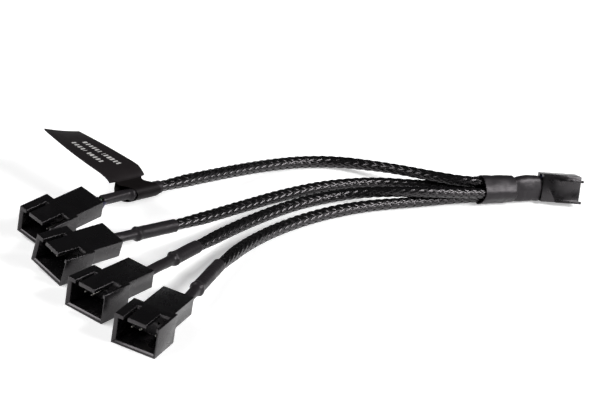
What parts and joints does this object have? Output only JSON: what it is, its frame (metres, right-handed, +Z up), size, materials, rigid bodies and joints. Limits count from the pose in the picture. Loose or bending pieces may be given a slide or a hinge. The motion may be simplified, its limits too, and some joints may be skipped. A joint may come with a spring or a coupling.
{
  "type": "fan splitter cable",
  "caption": "Braided splitter cable that feeds several fans from one header: a ribbed socket, sleeved branches, and shrouded plugs, with a flag label on the branch that reports speed.",
  "frame": {"origin": "middle of the outline on the floor, measured without the four sleeves", "axes": "+X along the cable from the outputs to the input, +Y towards the labelled branch, +Z up"},
  "size_m": [0.219, 0.1152, 0.0155],
  "materials": {
    "housing": "moulded, satin",
    "heat_shrink": "shrunk tube, soft sheen",
    "sleeve": "braided, glossy strands",
    "label": "film, soft sheen",
    "contact": "tin plated",
    "wire_black": "insulation",
    "wire_yellow": "insulation",
    "wire_green": "insulation",
    "wire_blue": "insulation"
  },
  "bodies": {
    "root": {"input_housing": "housing", "input_heat_shrink": "heat_shrink", "input_terminal_ground": "contact", "input_wire_ground": "wire_black", "splice_ground": "contact", "input_terminal_supply": "contact", "input_wire_supply": "wire_yellow", "splice_supply": "contact", "input_terminal_speed": "contact", "input_wire_speed": "wire_green", "splice_speed": "contact", "input_terminal_control": "contact", "input_wire_control": "wire_blue", "splice_control": "contact", "output_1_housing": "housing", "output_1_heat_shrink": "heat_shrink", "output_1_sleeve": "sleeve", "output_1_pin_ground": "contact", "output_1_wire_ground": "wire_black", "output_1_pin_supply": "contact", "output_1_wire_supply": "wire_yellow", "output_1_pin_speed": "contact", "output_1_wire_speed": "wire_green", "output_1_pin_control": "contact", "output_1_wire_control": "wire_blue", "output_2_housing": "housing", "output_2_heat_shrink": "heat_shrink", "output_2_sleeve": "sleeve", "output_2_pin_ground": "contact", "output_2_wire_ground": "wire_black", "output_2_pin_supply": "contact", "output_2_wire_supply": "wire_yellow", "output_2_pin_control": "contact", "output_2_wire_control": "wire_blue", "output_3_housing": "housing", "output_3_heat_shrink": "heat_shrink", "output_3_sleeve": "sleeve", "output_3_pin_ground": "contact", "output_3_wire_ground": "wire_black", "output_3_pin_supply": "contact", "output_3_wire_supply": "wire_yellow", "output_3_pin_control": "contact", "output_3_wire_control": "wire_blue", "output_4_housing": "housing", "output_4_heat_shrink": "heat_shrink", "output_4_sleeve": "sleeve", "output_4_pin_ground": "contact", "output_4_wire_ground": "wire_black", "output_4_pin_supply": "contact", "output_4_wire_supply": "wire_yellow", "output_4_pin_control": "contact", "output_4_wire_control": "wire_blue", "flag_label": "label"}
  },
  "joints": []
}
